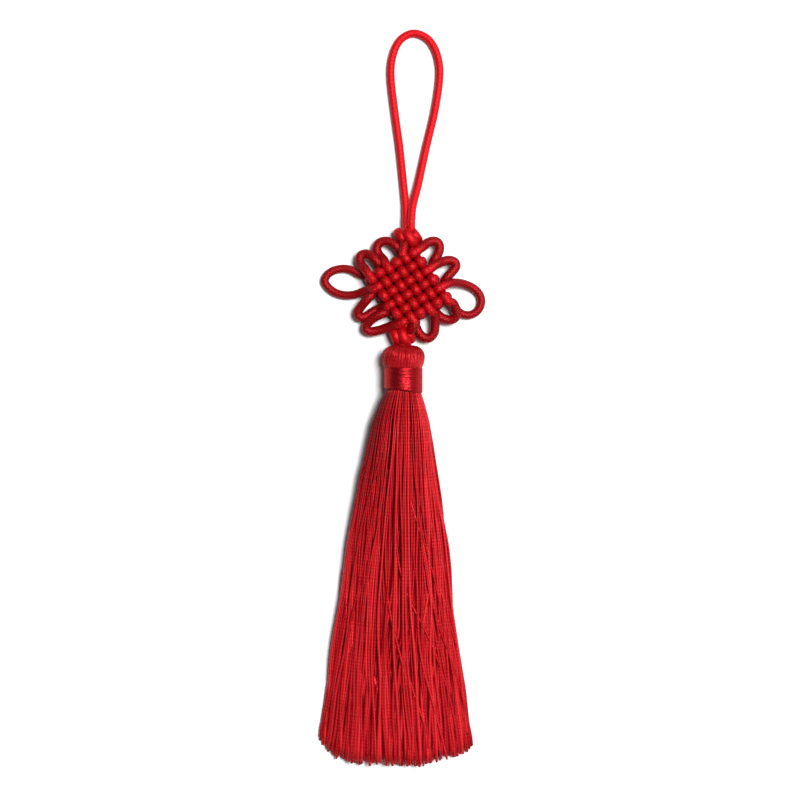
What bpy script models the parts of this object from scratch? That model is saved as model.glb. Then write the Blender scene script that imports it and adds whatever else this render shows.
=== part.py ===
"""Knotted cord tassel, lying on its back on a table.

One braided cord forms the hanging loop, a connection knot, a six-row endless
knot with ten ears and a second connection knot.  Below it hangs a tassel of
folded threads, bound with a band of thread.

Tables and sizes are in millimetres and become metres where a mesh is made.
+X is right and +Y is up the tassel, towards its loop, as seen from above.
+Z is up from the table, which is at zero.
"""

import bpy
import bmesh
import numpy as np
from mathutils import Vector
from mathutils.geometry import delaunay_2d_cdt

MM = 0.001

# Middle of the finished tassel's outline, which becomes the origin
BOX_MIDDLE = np.array((0.133, 0.035, 0.0))

# Braided cord
CORD = 2.6
CORD_SIDES = 8
CORD_CUTS = 3

# Hanging loop: its two legs stand "half" either side of "middle"
LOOP_SECTIONS = (
    # up,   middle, half, left height, right height
    (57.6, 2.20, 0.85, 2.3, 5.3),
    (63.4, 2.40, 1.25, 1.5, 4.2),
    (70.0, 2.90, 2.40, 1.3, 2.2),
    (82.6, 3.60, 4.40, 1.3, 1.3),
    (95.0, 4.20, 6.70, 1.3, 1.3),
    (106.3, 4.35, 8.05, 1.3, 1.3),
    (113.2, 4.30, 7.20, 1.3, 1.3),
    (118.1, 4.15, 4.50, 1.3, 1.3),
)
LOOP_TOP = (4.0, 120.15, 1.3)

# Endless knot: six rows each way, woven in a front and a back layer
ROWS = 6
MIDDLE_ROW = (ROWS - 1) / 2
KNOT_CENTRE = np.array((2.77, 36.8))
STEP_RISE = np.array((2.79, 1.65))
STEP_FALL = np.array((2.06, -2.90))
KNOT_MID_HEIGHT = 3.75
LAYER_OFFSET = 1.95
WEAVE_RISE = 1.1
FLAT_WIDTH = 2.35
FLAT_DEPTH = 1.4
EAR_CORD = 2.5
CREST = 0.2
ROW_END = 0.42
TURN_OUT = ((0.5, 0.8), (0.72, 0.0), (0.5, -0.8))
STRAND_SIDES = 6
EAR_STEP = 1.8

# Rows of each strand in the order it runs
LEFT_ROWS = (("fall", 4), ("fall", 2), ("fall", 0), ("rise", 1), ("rise", 3), ("rise", 5))
RIGHT_ROWS = (("rise", 0), ("rise", 2), ("rise", 4), ("fall", 5), ("fall", 3), ("fall", 1))

# Ears between those rows: x and y from the knot's centre, and height
LEFT_EARS = (
    ((-2.7, 11.5, 1.4), (-3.7, 12.1, 1.9), (-4.9, 13.2, 2.4), (-6.6, 14.4, 2.9), (-8.8, 14.7, 3.4),
     (-10.5, 13.8, 3.9), (-11.1, 12.0, 4.5), (-10.2, 10.1, 5.2), (-8.8, 8.6, 5.9)),
    ((-8.5, 8.0, 1.4), (-9.7, 8.6, 1.4), (-10.8, 9.4, 1.7), (-12.3, 10.3, 2.3), (-14.3, 10.7, 3.0),
     (-16.1, 10.1, 3.7), (-16.7, 8.6, 4.4), (-16.0, 6.8, 5.1), (-14.6, 5.3, 5.9)),
    ((-14.4, 4.7, 1.4), (-16.8, 4.5, 1.3), (-19.3, 5.3, 1.3), (-22.2, 5.8, 1.3), (-25.2, 5.2, 1.3),
     (-27.4, 3.7, 1.3), (-28.2, 1.7, 1.3), (-27.2, -0.2, 1.3), (-24.9, -2.0, 1.5),
     (-21.9, -2.9, 2.1), (-18.6, -2.8, 3.2), (-15.5, -1.8, 4.8), (-13.2, -1.0, 5.9)),
    ((-12.1, -1.5, 1.4), (-13.1, -2.9, 1.5), (-14.6, -4.9, 2.0), (-16.3, -6.8, 2.6), (-17.6, -8.7, 3.2),
     (-17.0, -10.5, 3.8), (-14.9, -10.5, 4.3), (-12.7, -8.7, 4.9), (-10.6, -7.5, 5.5), (-8.7, -6.8, 6.1)),
    ((-7.8, -7.5, 1.4), (-8.8, -8.7, 1.5), (-10.5, -9.8, 1.8), (-12.7, -11.1, 2.3), (-14.3, -12.7, 2.8),
     (-14.5, -14.2, 3.3), (-13.0, -15.0, 3.8), (-10.5, -14.6, 4.3), (-7.9, -13.8, 5.0), (-5.2, -12.9, 5.9)),
)
RIGHT_EARS = (
    ((4.1, 12.8, 5.8), (5.6, 14.1, 5.0), (7.4, 14.7, 4.4), (9.0, 14.2, 4.0), (9.6, 12.6, 3.6),
     (9.2, 10.8, 3.3), (8.3, 9.0, 2.9), (7.6, 7.4, 1.6)),
    ((8.7, 7.1, 5.9), (10.5, 7.9, 5.0), (12.7, 8.4, 4.4), (14.5, 7.8, 4.0), (14.9, 6.3, 3.6),
     (13.8, 4.7, 3.2), (12.7, 3.2, 2.7), (11.9, 1.7, 1.6)),
    ((13.2, 0.9, 5.6), (16.2, 1.0, 4.0), (19.1, 0.2, 2.6), (21.7, -1.2, 1.9), (23.3, -3.2, 1.5),
     (23.76, -5.5, 1.3), (22.8, -7.7, 1.3), (20.9, -9.1, 1.3), (18.5, -9.5, 1.4), (16.3, -8.7, 1.5),
     (14.9, -7.1, 1.5), (13.8, -5.5, 1.2)),
    ((13.9, -5.8, 6.0), (14.8, -7.4, 5.4), (15.2, -9.2, 4.9), (14.5, -10.6, 4.4), (12.7, -11.2, 3.8),
     (10.6, -10.6, 3.2), (9.0, -9.4, 2.4), (8.1, -8.4, 1.3)),
    ((7.9, -9.1, 5.9), (8.1, -11.1, 5.0), (8.1, -13.4, 4.4), (7.7, -15.5, 4.0), (6.1, -17.1, 3.6),
     (4.0, -16.7, 3.3), (2.5, -14.9, 2.9), (1.9, -12.9, 2.0)),
)

# Where the strands leave the upper connection knot and reach the lower one
STRAND_ENDS = {
    # x, y, height, width, depth
    "left in": ((0.4, 50.6, 5.2, EAR_CORD, EAR_CORD),),
    "left out": ((-1.3, 23.5, 2.3, EAR_CORD, EAR_CORD),),
    "right in": ((6.0, 50.6, 2.4, EAR_CORD, EAR_CORD),),
    "right out": ((4.65, 24.6, 6.95, FLAT_WIDTH, FLAT_DEPTH),
                  (2.9, 22.9, 6.95, FLAT_WIDTH, FLAT_DEPTH)),
}

# Connection knots: plump, with two bands that run slantwise round them
CONNECTION_KNOTS = (
    # name,                 x,    y,    height, half width, half depth, half length
    ("connection_knot_top", 2.30, 54.3, 3.6, 3.8, 3.5, 2.65),
    ("connection_knot_low", -0.3, 19.95, 3.9, 3.9, 3.5, 2.4),
)
BAND_SLANT = 2.6
GROOVE_DEPTH = 0.2
KNOT_SEGMENTS = 20
KNOT_LEVELS = 9

# Tassel head: a mushroom of folded threads over a straight neck
HEAD_X = 0.45
HEAD_TOP = 17.25
HEAD_AXIS_HEIGHT = 5.85
HEAD_SEGMENTS = 28
HEAD_RIDGE = 0.025
NECK_RADIUS = 5.4
HEAD_PROFILE = (
    # down, radius
    (0.0, 2.4),
    (0.5, 4.3),
    (1.6, 6.1),
    (3.4, 6.9),
    (5.2, 6.8),
    (6.6, 6.2),
    (7.2, NECK_RADIUS),
)
ROOT_DOWN = 14.9

# Binding: a band of thread round the neck
BINDING_SEGMENTS = 32
BINDING_GAP = 0.35
BINDING_PROFILE = (
    # down, outer radius
    (7.5, 5.95),
    (7.8, 6.2),
    (11.0, 6.3),
    (14.3, 6.25),
    (14.6, 6.0),
)

# Skirt: locks of thread, spread in rows that lie on each other
SKIRT_SECTIONS = (
    # down from the roots, left edge, right edge
    (0.0, 5.3, 5.3),
    (2.0, 6.9, 6.3),
    (10.0, 10.1, 8.5),
    (28.0, 13.7, 10.8),
    (50.0, 18.2, 13.7),
    (73.0, 21.2, 16.0),
    (103.0, 25.4, 20.4),
    (116.0, 28.0, 22.8),
)
HEM = (
    # place across from -1 to 1, down from the roots
    (-1.00, 115.9),
    (-0.85, 120.2),
    (-0.60, 122.4),
    (0.00, 123.3),
    (0.25, 123.9),
    (0.60, 121.2),
    (0.85, 119.8),
    (1.00, 117.2),
)
ROOT_LINES = 12
ROOT_REACH = 5.0
ROOT_LINE_GAP = 0.83
ROOT_PITCH = 0.7
ROOT_LOCK = 0.24
HEM_LOCK = 0.54
LOCK_SIDES = 3
HEM_ROWS = (
    # share of the skirt's width, height over the table
    (0.985, 0.0),
    (0.965, 1.1),
    (0.90, 2.2),
    (0.70, 3.3),
)
SETTLING = 1.5
THICKENING = 1.3
WAVE = 0.45
WAVE_LENGTH = 60.0
RAGGED = 1.1
SEED = 8

RED = (0.60, 0.008, 0.016, 1.0)


def silk(name, roughness):
    """Red silk: one Principled BSDF for each kind of thread."""
    material = bpy.data.materials.new(name)
    material.use_nodes = True
    shader = material.node_tree.nodes["Principled BSDF"]
    shader.inputs["Base Color"].default_value = RED
    shader.inputs["Roughness"].default_value = roughness
    shader.inputs["Metallic"].default_value = 0.0
    return material


def add_piece(name, points, faces, material):
    """One closed piece from points in millimetres, with its faces turned outwards."""
    mesh = bpy.data.meshes.new(name)
    mesh.from_pydata(((np.asarray(points) - BOX_MIDDLE) * MM).tolist(), [], faces)
    shape = bmesh.new()
    shape.from_mesh(mesh)
    bmesh.ops.recalc_face_normals(shape, faces=shape.faces)
    shape.to_mesh(mesh)
    shape.free()
    mesh.materials.append(material)
    mesh.shade_smooth()
    mesh.set_sharp_from_angle(angle=np.radians(50))
    piece = bpy.data.objects.new(name, mesh)
    bpy.context.collection.objects.link(piece)
    return piece


def curve_through(stations, cuts):
    """Catmull-Rom curve through the stations, with so many steps to each stretch."""
    stations = np.asarray(stations, dtype=float)
    first = 2 * stations[0] - stations[1]
    last = 2 * stations[-1] - stations[-2]
    held = np.vstack((first, stations, last))
    curve = []
    for n, steps in enumerate(cuts):
        before, start, end, after = held[n:n + 4]
        for t in np.arange(steps) / steps:
            curve.append(0.5 * (2 * start + (end - before) * t
                                + (2 * before - 5 * start + 4 * end - after) * t ** 2
                                + (3 * start - before - 3 * end + after) * t ** 3))
    curve.append(stations[-1])
    return np.array(curve)


def cord_frame(centres):
    """Side and top directions along a cord; the side stays level unless the cord is upright."""
    steep = 0.35
    along = np.gradient(centres, axis=0)
    along /= np.linalg.norm(along, axis=1, keepdims=True)
    sides = np.empty_like(centres)
    side = np.cross((0, 0, 1), along[0])
    for n, direction in enumerate(along):
        level = np.cross((0, 0, 1), direction)
        if np.linalg.norm(level) > steep:
            side = level * np.sign(level @ side)
        side = side - direction * (side @ direction)
        side /= np.linalg.norm(side)
        sides[n] = side
    return sides, np.cross(along, sides)


def cord(name, stations, cuts, sides, material):
    """Closed cord through stations of x, y, height, width and depth, flat above and below."""
    curve = curve_through(stations, cuts)
    centres, width, depth = curve[:, :3], curve[:, 3], curve[:, 4]
    side, top = cord_frame(centres)
    offset = 0.5 if sides == CORD_SIDES else 0.0
    turn = (np.arange(sides) + offset) * 2 * np.pi / sides
    across, upright = np.cos(turn), np.sin(turn)
    across, upright = across / across.max(), upright / upright.max()
    points = (centres[:, None]
              + side[:, None] * (across * width[:, None] / 2)[..., None]
              + top[:, None] * (upright * depth[:, None] / 2)[..., None])
    points[..., 2] = np.maximum(points[..., 2], 0.0)
    rings = len(centres)
    faces = tube_faces(rings, sides)
    faces.append(tuple(range(sides)))
    faces.append(tuple(range((rings - 1) * sides, rings * sides)))
    return add_piece(name, points.reshape(-1, 3), faces, material)


def tube_faces(rings, sides):
    """Four-cornered faces between rings of points."""
    faces = []
    for ring in range(rings - 1):
        for n in range(sides):
            here, there = ring * sides + n, ring * sides + (n + 1) % sides
            faces.append((here, there, there + sides, here + sides))
    return faces


def hanging_loop(material):
    """Long drop-shaped loop of cord; its right leg climbs over its left at the knot."""
    left = [(middle - half, up, low, CORD, CORD)
            for up, middle, half, low, high in LOOP_SECTIONS]
    right = [(middle + half, up, high, CORD, CORD)
             for up, middle, half, low, high in LOOP_SECTIONS]
    stations = left + [(*LOOP_TOP, CORD, CORD)] + right[::-1]
    return cord("hanging_loop", stations, [CORD_CUTS] * (len(stations) - 1), CORD_SIDES, material)


def lattice(i, j):
    """Point of the weave: i counts the falling rows, j the rising ones."""
    return KNOT_CENTRE + (i - MIDDLE_ROW) * STEP_RISE + (j - MIDDLE_ROW) * STEP_FALL


def row_point(runs, row, along, height):
    """Flattened cord on one row of the weave."""
    spot = lattice(row, along) if runs == "fall" else lattice(along, row)
    return (*spot, height, FLAT_WIDTH, FLAT_DEPTH)


def face_run(runs, row, travel, face, end_first):
    """One pass across the knot on its front (1) or back (-1) face, over and under by turns."""
    step = travel[1] - travel[0]
    run = []
    for place in travel:
        outside = (row + place) % 2 == (0 if runs == "fall" else 1)
        height = KNOT_MID_HEIGHT + face * (LAYER_OFFSET + (WEAVE_RISE if outside else -WEAVE_RISE))
        places = [place - CREST * step, place + CREST * step]
        if end_first and place == travel[0]:
            places.insert(0, place - ROW_END * step)
        if not end_first and place == travel[-1]:
            places.append(place + ROW_END * step)
        run += [row_point(runs, row, spot, height) for spot in places]
    return run


def bight(runs, row, travel, face):
    """A pass out on one face, a turn round the far edge, and a pass back on the other."""
    step = travel[1] - travel[0]
    turn = [row_point(runs, row, travel[-1] + reach * step,
                      KNOT_MID_HEIGHT + face * share * LAYER_OFFSET) for reach, share in TURN_OUT]
    return (face_run(runs, row, travel, face, True) + turn
            + face_run(runs, row, travel[::-1], -face, False))


def ear(points):
    """Round cord from one row's end to the next one's start, by way of the ear's points."""
    return [(KNOT_CENTRE[0] + x, KNOT_CENTRE[1] + y, height, EAR_CORD, EAR_CORD)
            for x, y, height in points]


def knot_strand(side, rows, ears, travel, face, material):
    """Half of the knot's cord: six passes out and back, with five ears between them."""
    stations = list(STRAND_ENDS[side + " in"])
    for n, (runs, row) in enumerate(rows):
        stations += bight(runs, row, travel, face)
        if n < len(ears):
            stations += ear(ears[n])
    stations += STRAND_ENDS[side + " out"]
    table = np.array(stations)
    stretches = np.linalg.norm(np.diff(table[:, :3], axis=0), axis=1)
    in_ear = (table[:-1, 3] == EAR_CORD) & (table[1:, 3] == EAR_CORD)
    cuts = np.where(in_ear, np.ceil(stretches / EAR_STEP), 1).astype(int)
    return cord("knot_strand_" + side, stations, cuts, STRAND_SIDES, material)


def connection_knot(name, x, y, height, half_width, half_depth, half_length, material):
    """Plump knot: a barrel, round at its ends, with grooves between two slanting bands."""
    level = np.linspace(-1, 1, KNOT_LEVELS)[:, None]
    turn = (np.arange(KNOT_SEGMENTS) * 2 * np.pi / KNOT_SEGMENTS)[None, :]
    swell = (1 - 0.82 * np.abs(level) ** 2.6) ** 0.5
    groove = np.abs(np.sin(turn + level * BAND_SLANT / 2)) ** 6
    radius = swell * (1 - GROOVE_DEPTH * groove)
    points = np.stack((x + half_width * radius * np.cos(turn),
                       y + half_length * level + 0 * turn,
                       height + half_depth * radius * np.sin(turn)), axis=-1)
    points[..., 2] = np.maximum(points[..., 2], 0.0)
    faces = tube_faces(KNOT_LEVELS, KNOT_SEGMENTS)
    faces.append(tuple(range(KNOT_SEGMENTS)))
    faces.append(tuple(range((KNOT_LEVELS - 1) * KNOT_SEGMENTS, KNOT_LEVELS * KNOT_SEGMENTS)))
    return add_piece(name, points.reshape(-1, 3), faces, material)


def head_ring(down, radius, segments, ridge=0.0):
    """Ring of points round the tassel's axis, flat where it lies on the table."""
    turn = np.arange(segments) * 2 * np.pi / segments + np.pi / segments - np.pi / 2
    radii = radius * (1 + ridge * (-1.0) ** np.arange(segments))
    return np.stack((HEAD_X + radii * np.cos(turn),
                     np.full(segments, HEAD_TOP - down),
                     np.maximum(HEAD_AXIS_HEIGHT + radii * np.sin(turn), 0.0)), axis=-1)


def binding(material):
    """Band of thread: a short tube round the neck, with round edges and a flat spot below."""
    inner = NECK_RADIUS + BINDING_GAP
    top, bottom = BINDING_PROFILE[0][0], BINDING_PROFILE[-1][0]
    profile = ((top, inner), *BINDING_PROFILE, (bottom, inner))
    rings = [head_ring(down, radius, BINDING_SEGMENTS) for down, radius in profile]
    faces = tube_faces(len(rings), BINDING_SEGMENTS)
    last = (len(rings) - 1) * BINDING_SEGMENTS
    for n in range(BINDING_SEGMENTS):
        after = (n + 1) % BINDING_SEGMENTS
        faces.append((last + n, last + after, after, n))
    return add_piece("binding", np.vstack(rings), faces, material)


def root_places():
    """Where each lock leaves the neck and reaches the hem: x and height at the roots,
    then place across and row at the hem.  Three lines of roots feed each hem row."""
    lines_per_row = ROOT_LINES // len(HEM_ROWS)
    locks = []
    for row, (share, _) in enumerate(HEM_ROWS):
        roots = []
        for line in range(row * lines_per_row, (row + 1) * lines_per_row):
            height = (line - (ROOT_LINES - 1) / 2) * ROOT_LINE_GAP
            chord = np.sqrt(ROOT_REACH ** 2 - height ** 2)
            count = int(round(2 * chord / ROOT_PITCH))
            for n in range(count):
                roots.append((chord * ((2 * n + 1) / count - 1), height))
        roots.sort()
        across = np.linspace(-share, share, len(roots))
        locks += [(x, height, place, row) for (x, height), place in zip(roots, across)]
    return locks


def lock_rings(locks):
    """Three-cornered rings of every lock, from its root to its tip at the hem."""
    dice = np.random.default_rng(SEED)
    table = np.array(SKIRT_SECTIONS)
    hem = np.array(HEM)
    corner = np.arange(LOCK_SIDES) * 2 * np.pi / LOCK_SIDES - np.pi / 6
    rings = []
    for root_x, root_height, place, row in locks:
        end = np.interp(place, hem[:, 0], hem[:, 1]) - RAGGED * dice.random()
        downs = np.append(table[:-1, 0], end)
        left = np.interp(downs, table[:, 0], table[:, 1])
        right = np.interp(downs, table[:, 0], table[:, 2])
        half, lean = (left + right) / 2, (right - left) / 2
        spread = (half - half[0]) / (half[-1] - half[0])
        across = root_x / half[0] * (1 - spread) + place * spread
        wave = WAVE * spread * np.sin(2 * np.pi * (downs / WAVE_LENGTH + place / 2 + row / 5))
        size = ROOT_LOCK + (HEM_LOCK - ROOT_LOCK) * spread ** THICKENING
        lowest = size * np.sin(np.pi / 6)
        settled = spread ** SETTLING
        heights = ((HEAD_AXIS_HEIGHT + root_height) * (1 - settled)
                   + (HEM_ROWS[row][1] + lowest[-1]) * settled)
        heights = np.maximum(heights, lowest)
        centres = np.stack((HEAD_X + lean + half * across + wave, HEAD_TOP - ROOT_DOWN - downs,
                            heights), axis=-1)
        ring = np.stack((np.cos(corner), 0 * corner, np.sin(corner)), axis=-1)
        rings.append(centres[:, None] + ring[None] * size[:, None, None])
    return rings


def tassel(material):
    """Head and skirt as one piece: the locks grow out of the neck's lower end."""
    profile = (*HEAD_PROFILE, (ROOT_DOWN, NECK_RADIUS))
    rings = [head_ring(down, radius, HEAD_SEGMENTS, HEAD_RIDGE if radius > NECK_RADIUS else 0.0)
             for down, radius in profile]
    points = list(np.vstack(rings))
    faces = tube_faces(len(rings), HEAD_SEGMENTS)
    faces.append(tuple(range(HEAD_SEGMENTS)))
    rim = list(range(len(points) - HEAD_SEGMENTS, len(points)))
    flat_ids = list(rim)
    flat_faces = [list(range(HEAD_SEGMENTS))]
    for lock in lock_rings(root_places()):
        start = len(points)
        points += list(lock.reshape(-1, 3))
        lock_faces = tube_faces(len(lock), LOCK_SIDES)
        lock_faces.append(tuple(range((len(lock) - 1) * LOCK_SIDES, len(lock) * LOCK_SIDES)))
        faces += [tuple(start + n for n in face) for face in lock_faces]
        flat_faces.append(list(range(len(flat_ids), len(flat_ids) + LOCK_SIDES)))
        flat_ids += range(start, start + LOCK_SIDES)
    flat = [Vector((points[n][0], points[n][2])) for n in flat_ids]
    spots, _, cells, came_from, _, owners = delaunay_2d_cdt(flat, [], flat_faces, 1, 1e-6)
    for cell, owner in zip(cells, owners):
        if max(owner) == 0:
            faces.append(tuple(flat_ids[came_from[n][0]] for n in cell))
    return add_piece("tassel", points, faces, material)


def build():
    """All the pieces, from the loop down to the skirt."""
    for old in list(bpy.data.objects):
        bpy.data.objects.remove(old, do_unlink=True)
    braided = silk("braided_cord", 0.42)
    threads = silk("silk_threads", 0.36)
    hanging_loop(braided)
    knot_strand("left", LEFT_ROWS, LEFT_EARS, list(range(ROWS)), 1, braided)
    knot_strand("right", RIGHT_ROWS, RIGHT_EARS, list(range(ROWS))[::-1], -1, braided)
    for knot in CONNECTION_KNOTS:
        connection_knot(*knot, braided)
    binding(threads)
    tassel(threads)


build()
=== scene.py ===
"""Knotted cord tassel of red silk, lying on a pale table and seen from straight above."""

import math

import bpy
import numpy as np
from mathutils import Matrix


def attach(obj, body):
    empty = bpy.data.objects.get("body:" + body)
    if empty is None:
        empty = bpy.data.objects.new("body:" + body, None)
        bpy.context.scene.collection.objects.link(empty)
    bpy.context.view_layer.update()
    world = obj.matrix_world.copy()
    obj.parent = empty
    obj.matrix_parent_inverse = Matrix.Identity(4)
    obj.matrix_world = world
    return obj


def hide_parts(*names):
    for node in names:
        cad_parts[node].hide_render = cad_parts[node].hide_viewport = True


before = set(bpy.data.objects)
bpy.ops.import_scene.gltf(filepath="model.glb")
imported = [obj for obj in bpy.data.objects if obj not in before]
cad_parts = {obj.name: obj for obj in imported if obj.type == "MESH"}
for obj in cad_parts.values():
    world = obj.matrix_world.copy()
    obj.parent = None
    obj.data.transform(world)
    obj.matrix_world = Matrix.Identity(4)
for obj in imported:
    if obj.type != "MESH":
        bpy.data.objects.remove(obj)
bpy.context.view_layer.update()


# Camera
# Looks straight down with a long lens, with the tassel's loop at the top.
# The picture is 264 mm wide at the height of the table.
MM = 0.001
PICTURE_WIDTH = 264.0 * MM
LENS, SENSOR = 100.0, 36.0
PICTURE_MIDDLE = (-0.8 * MM, -0.7 * MM)

camera = bpy.data.objects.new("camera", bpy.data.cameras.new("camera"))
camera.data.lens = LENS
camera.data.sensor_width = SENSOR
camera.data.clip_start = 10 * MM
camera.location = (*PICTURE_MIDDLE, PICTURE_WIDTH * LENS / SENSOR)
bpy.context.collection.objects.link(camera)
bpy.context.scene.camera = camera


# Table
# A wide pale sheet under the tassel, lit by one soft lamp high on the right and
# by pale walls, brightest on the lamp's side, with a dimmer ceiling. Sizes in
# this section are in metres, and in the next ones in millimetres.
TABLE_REACH = 3.0
TABLE_GRAIN = 900.0
TABLE_PALE = (0.93, 0.93, 0.935, 1.0)
TABLE_DIM = (0.88, 0.88, 0.885, 1.0)


class Value:
    """What comes out of a shader node. Each operator adds the Math node of its name."""

    def __init__(self, finish, socket):
        self.finish, self.socket = finish, socket

    def maths(self, operation, first, second):
        """The Math node that puts the operation between first and second."""
        return self.finish.node("ShaderNodeMath", {0: first, 1: second}, operation=operation)

    def __add__(self, other):
        return self.maths("ADD", self, other)

    def __mul__(self, other):
        return self.maths("MULTIPLY", self, other)

    def __pow__(self, other):
        return self.maths("POWER", self, other)

    def __rpow__(self, other):
        return self.maths("POWER", other, self)

    __radd__, __rmul__ = __add__, __mul__


class Finish:
    """A material, or the light of the room, with its shader ready to be fed."""

    def __init__(self, name, group=bpy.data.materials, shader="Principled BSDF", **constants):
        self.owner = group.new(name)
        self.owner.use_nodes = True
        self.tree = self.owner.node_tree
        self.shader = self.tree.nodes[shader]
        for socket, value in constants.items():
            self.shader.inputs[socket.replace("_", " ")].default_value = value

    def feed(self, node, inputs):
        """Links a node's inputs to Values, and sets those that get a plain number or colour."""
        for key, value in inputs.items():
            if isinstance(value, Value):
                self.tree.links.new(value.socket, node.inputs[key])
            else:
                node.inputs[key].default_value = value

    def node(self, kind, inputs=None, output=0, stops=None, **settings):
        """One output of a new node: its settings and ramp stops are set first, then its inputs."""
        node = self.tree.nodes.new(kind)
        for key, value in settings.items():
            setattr(node, key, value)
        if stops:
            for stop, (place, colour) in zip(node.color_ramp.elements, (stops[0], stops[-1])):
                stop.position, stop.color = place, colour
            for place, colour in stops[1:-1]:
                node.color_ramp.elements.new(place).color = colour
        self.feed(node, inputs or {})
        return Value(self, node.outputs[output])


table_finish = Finish("pale_table", Roughness=0.85, Specular_IOR_Level=0.1)
table_place = table_finish.node("ShaderNodeTexCoord", output="Object")
grain = table_finish.node("ShaderNodeTexNoise",
                          {"Scale": TABLE_GRAIN, "Detail": 3.0, "Vector": table_place})
table_finish.feed(table_finish.shader, {"Base Color": table_finish.node(
    "ShaderNodeValToRGB", {"Fac": grain}, stops=((0, TABLE_DIM), (1, TABLE_PALE)))})

table_mesh = bpy.data.meshes.new("table")
table_mesh.from_pydata([(x * TABLE_REACH, y * TABLE_REACH, 0.0)
                        for x, y in ((-1, -1), (1, -1), (1, 1), (-1, 1))], [], [(0, 1, 2, 3)])
table_mesh.materials.append(table_finish.owner)
table = bpy.data.objects.new("table", table_mesh)
bpy.context.collection.objects.link(table)

LAMP_PLACE = (0.58, 0.30, 1.74)
LAMP_SIZE = 0.7
LAMP_POWER = 50.0
lamp = bpy.data.objects.new("lamp", bpy.data.lights.new("lamp", "AREA"))
lamp.data.size = LAMP_SIZE
lamp.data.energy = LAMP_POWER
lamp.location = LAMP_PLACE
lamp.rotation_euler = (math.atan2(math.hypot(LAMP_PLACE[0], LAMP_PLACE[1]), LAMP_PLACE[2]), 0.0,
                       math.atan2(LAMP_PLACE[1], LAMP_PLACE[0]) + math.pi / 2)
bpy.context.collection.objects.link(lamp)

# brightness, and the heights between which the walls go over to the ceiling
WALLS, CEILING = 0.28, 0.05
WALLS_TOP, CEILING_EDGE = 0.25, 0.95
LAMP_SIDE = 0.7
room = Finish("room", bpy.data.worlds, "Background", Color=(1.0, 1.0, 1.0, 1.0))
way = room.node("ShaderNodeTexCoord", output="Generated")
upwards = room.node("ShaderNodeSeparateXYZ", {"Vector": way}, output="Z")
rightwards = room.node("ShaderNodeSeparateXYZ", {"Vector": way}, output="X")
by_height = room.node("ShaderNodeMapRange", {"Value": upwards, "From Min": WALLS_TOP,
                                             "From Max": CEILING_EDGE, "To Min": WALLS, "To Max": CEILING})
room.feed(room.shader, {"Strength": by_height * (rightwards * LAMP_SIDE + 1.0)})
bpy.context.scene.world = room.owner
bpy.context.scene.view_settings.view_transform = "Standard"


# Hanging loop
# One length of round braided silk cord, bent to a long drop that lies on the
# table. Its right leg climbs over the left one where both enter the knot.
CORD = 2.55
LOOP_SECTIONS = (
    # up, middle, half width, left height, right height
    (54.8, 2.05, 0.90, 2.8, 4.4),
    (58.2, 2.05, 0.90, 2.4, 4.8),
    (63.4, 2.27, 1.25, 1.6, 4.0),
    (70.0, 2.77, 2.40, 1.3, 2.2),
    (82.6, 3.47, 4.40, 1.3, 1.3),
    (95.0, 4.07, 6.70, 1.3, 1.3),
    (106.3, 4.22, 8.05, 1.3, 1.3),
    (113.2, 4.17, 7.20, 1.3, 1.3),
    (118.1, 4.02, 4.50, 1.3, 1.3),
)
LOOP_TOP = (3.87, 120.1, 1.3)
BRAID_YARNS = 7
BRAID_LAY = 1.3
BRAID_RELIEF = 0.05
DIAMOND_FULLNESS = 0.6
CORD_STEP = 0.2
CORD_SIDES = 32
STEEP = 0.35


def curve_through(stations, step):
    """Points about one step apart on a smooth curve through the stations.

    Between two stations the curve is the cubic that passes through both and,
    at each, heads along the line from the station before to the one after.
    """
    stations = np.asarray(stations, dtype=float)
    held = np.vstack((2 * stations[0] - stations[1], stations, 2 * stations[-1] - stations[-2]))
    lengths = np.linalg.norm(np.diff(stations[:, :3], axis=0), axis=1)
    cuts = np.maximum(1, np.round(lengths / step)).astype(int)
    which = np.repeat(np.arange(len(cuts)), cuts)
    t = np.concatenate([np.arange(cut) / cut for cut in cuts])[:, None]
    before, start, end, after = (held[which + n] for n in range(4))
    curve = 0.5 * (2 * start + (end - before) * t
                   + (2 * before - 5 * start + 4 * end - after) * t ** 2
                   + (3 * start - before - 3 * end + after) * t ** 3)
    return np.vstack((curve, stations[-1]))


def along_and_side(paths):
    """Directions along each path and level across it, for paths of shape (threads, rings, 3).

    The level direction has half the angle of the path's own doubled one, plus
    a quarter turn, so that it never turns over. Where the path is steeper than
    STEEP, that angle is taken between those of the level parts on both sides.
    """
    along = np.gradient(paths, axis=1)
    along /= np.linalg.norm(along, axis=2, keepdims=True)
    doubled = 2 * np.arctan2(along[..., 1], along[..., 0])
    level = np.hypot(along[..., 0], along[..., 1]) > STEEP
    rings = np.arange(paths.shape[1])
    angle = np.array([np.interp(rings, rings[flat], np.unwrap(turn[flat]))
                      for turn, flat in zip(doubled, level)]) / 2 + np.pi / 2
    return along, np.stack((np.cos(angle), np.sin(angle), 0 * angle), axis=-1)


def rings_round(paths, width, depth, sides, side=None):
    """Rings of points round each path, one ellipse at each of its points.

    A ring is the point, plus the side direction times half the width times the
    cosine of the turn, plus the top direction times half the depth times its
    sine. The top is square to the path and to the side. Width and depth are
    numbers or arrays that spread to the shape (threads, rings, sides).
    """
    along, level = along_and_side(paths)
    side = level if side is None else side
    top = np.cross(along, side)
    top /= np.linalg.norm(top, axis=2, keepdims=True)
    turn = np.arange(sides) * 2 * np.pi / sides
    wide = (np.cos(turn) * width / 2)[..., None]
    deep = (np.sin(turn) * depth / 2)[..., None]
    return paths[:, :, None] + side[:, :, None] * wide + top[:, :, None] * deep


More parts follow.
